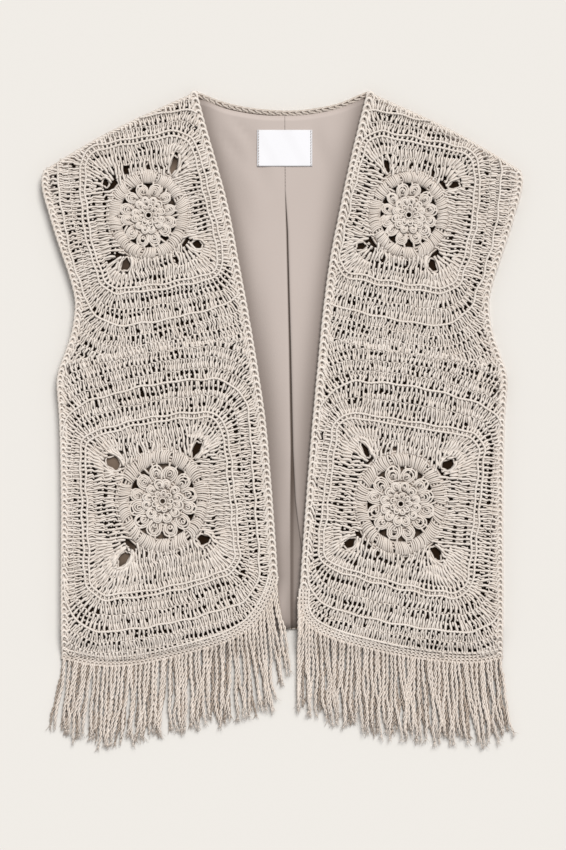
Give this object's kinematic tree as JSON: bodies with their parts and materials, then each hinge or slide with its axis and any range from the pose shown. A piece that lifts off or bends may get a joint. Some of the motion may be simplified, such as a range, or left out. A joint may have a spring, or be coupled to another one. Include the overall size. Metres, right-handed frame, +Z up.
{
  "type": "crochet vest",
  "caption": "Open-front crochet lace vest laid flat, with flower motifs, braided edges, a lining with a back pleat and a fringed hem.",
  "frame": {"origin": "under the middle of the laid vest, on the surface it rests on", "axes": "+X to the wearer's left, +Y to the neck, +Z up from the surface"},
  "size_m": [0.5286, 0.7207, 0.0134],
  "materials": {
    "yarn": "matt cotton crochet yarn",
    "fringe": "matt twisted cotton strands",
    "lining": "softly satin woven lining",
    "label": "smooth woven label"
  },
  "bodies": {
    "root": {"back": "yarn", "lining_back_left": "lining", "lining_back_right": "lining", "lining_pleat": "lining", "label": "label", "lining_front_left": "lining", "lining_front_right": "lining", "front_left": "yarn", "front_right": "yarn", "border_neck": "yarn", "border_front_left": "yarn", "border_front_right": "yarn", "edge_side_left": "yarn", "edge_side_right": "yarn", "hem_band_left": "yarn", "hem_band_right": "yarn", "fringe_left": "fringe", "fringe_right": "fringe"}
  },
  "joints": []
}
